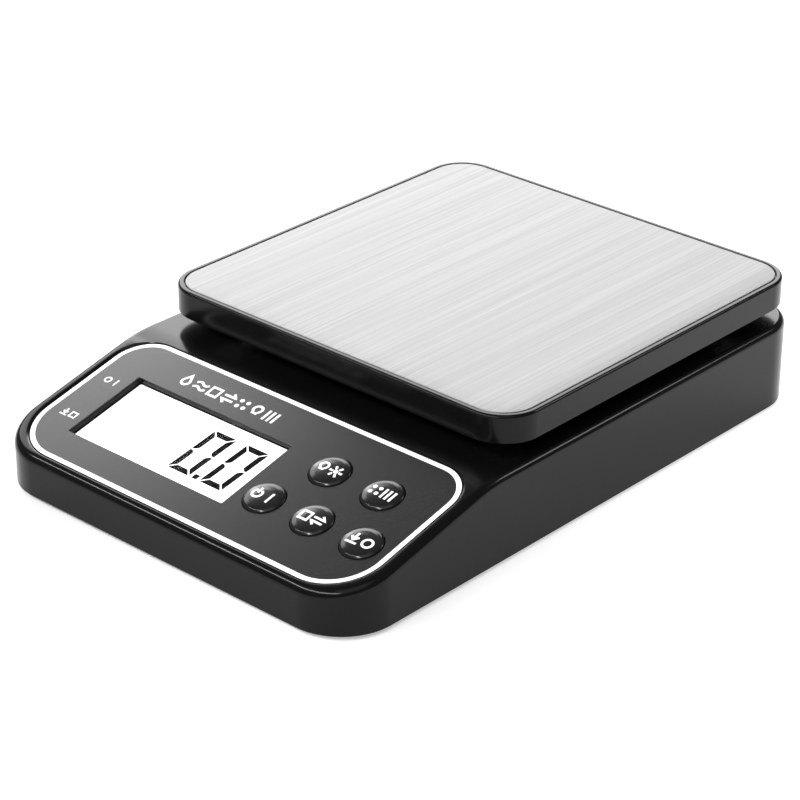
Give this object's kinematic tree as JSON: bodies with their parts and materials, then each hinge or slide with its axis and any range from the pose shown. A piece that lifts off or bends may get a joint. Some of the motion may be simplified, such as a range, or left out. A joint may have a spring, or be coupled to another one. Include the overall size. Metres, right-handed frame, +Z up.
{
  "type": "counting scale",
  "caption": "Compact counting scale: low black casing with sloped console, display and press keys, and a square brushed steel weighing platform on a load cell.",
  "frame": {"origin": "on the table under the middle of the casing", "axes": "+X right, +Y from the console to the back, +Z up"},
  "size_m": [0.165, 0.2412, 0.0487],
  "materials": {
    "gloss_black_plastic": "satin to gloss moulded black",
    "matte_black_plastic": "fine-textured black",
    "printed_panel": "smooth dark grey overlay with a white border line",
    "key_plastic": "smooth dark grey",
    "component_black": "moulded black",
    "white_nylon": "moulded off-white",
    "clear_lens": "clear polished",
    "lcd_glass": "white display with dark segments",
    "diffuser": "opal",
    "circuit_board": "green solder mask",
    "brushed_plate": "brushed front to back",
    "zinc_plated_steel": "zinc plated",
    "cell_aluminium": "milled",
    "battery_case": "printed steel case",
    "nickel_contact": "nickel plated",
    "silicone": "soft matt",
    "foot_rubber": "matt",
    "lead_sheath": "flexible sheath"
  },
  "bodies": {
    "casing": {"backlight_switch": "component_black", "battery_1": "battery_case", "battery_2": "battery_case", "battery_bridge_contact": "nickel_contact", "battery_lead": "lead_sheath", "battery_minus_contact": "nickel_contact", "battery_plus_contact": "nickel_contact", "case_screw_front_left": "zinc_plated_steel", "case_screw_front_right": "zinc_plated_steel", "case_screw_rear_left": "zinc_plated_steel", "case_screw_rear_right": "zinc_plated_steel", "cell_base_plate": "zinc_plated_steel", "cell_base_screw_1": "zinc_plated_steel", "cell_base_screw_2": "zinc_plated_steel", "console_panel": "printed_panel", "controller_chip": "component_black", "count_switch": "component_black", "display_board": "circuit_board", "display_holder": "white_nylon", "display_lens": "clear_lens", "foot_front_left": "foot_rubber", "foot_front_right": "foot_rubber", "foot_rear_left": "foot_rubber", "foot_rear_right": "foot_rubber", "gauge_cover": "silicone", "lcd_backlight": "diffuser", "lcd_glass": "lcd_glass", "load_cell": "cell_aluminium", "load_cell_lead": "lead_sheath", "lower_cover": "matte_black_plastic", "main_board": "circuit_board", "power_switch": "component_black", "sealing_boot": "silicone", "tare_switch": "component_black", "unit_switch": "component_black", "upper_housing": "gloss_black_plastic"},
    "platform": {"cell_top_screw_1": "zinc_plated_steel", "cell_top_screw_2": "zinc_plated_steel", "platform_bracket": "zinc_plated_steel", "platform_tray": "gloss_black_plastic", "tray_screw_left_front": "zinc_plated_steel", "tray_screw_left_rear": "zinc_plated_steel", "tray_screw_right_front": "zinc_plated_steel", "tray_screw_right_rear": "zinc_plated_steel", "weighing_plate": "brushed_plate"},
    "power_key": {"power_key": "key_plastic", "power_plunger": "white_nylon"},
    "unit_key": {"unit_key": "key_plastic", "unit_plunger": "white_nylon"},
    "tare_key": {"tare_key": "key_plastic", "tare_plunger": "white_nylon"},
    "backlight_key": {"backlight_key": "key_plastic", "backlight_plunger": "white_nylon"},
    "count_key": {"count_key": "key_plastic", "count_plunger": "white_nylon"},
    "battery_door": {"battery_door": "matte_black_plastic"}
  },
  "joints": [
    {"name": "platform_travel", "type": "slide", "parent": "casing", "child": "platform", "axis": [0, 0, 1], "range_m": [-0.0006, 0], "stiffness_N_per_m": 60000, "deforming": ["load_cell", "sealing_boot", "gauge_cover"]},
    {"name": "power_press", "type": "slide", "parent": "casing", "child": "power_key", "axis": [0, -0.2331, 0.9725], "range_m": [-0.0006, 0], "stiffness_N_per_m": 1200},
    {"name": "unit_press", "type": "slide", "parent": "casing", "child": "unit_key", "axis": [0, -0.2331, 0.9725], "range_m": [-0.0006, 0], "stiffness_N_per_m": 1200},
    {"name": "tare_press", "type": "slide", "parent": "casing", "child": "tare_key", "axis": [0, -0.2331, 0.9725], "range_m": [-0.0006, 0], "stiffness_N_per_m": 1200},
    {"name": "backlight_press", "type": "slide", "parent": "casing", "child": "backlight_key", "axis": [0, -0.2331, 0.9725], "range_m": [-0.0006, 0], "stiffness_N_per_m": 1200},
    {"name": "count_press", "type": "slide", "parent": "casing", "child": "count_key", "axis": [0, -0.2331, 0.9725], "range_m": [-0.0006, 0], "stiffness_N_per_m": 1200},
    {"name": "battery_door_hinge", "type": "hinge", "parent": "casing", "child": "battery_door", "pos_m": [0.02285, -0.02541, 0.00285], "axis": [0, 1, 0], "range_deg": [0, 75]}
  ]
}
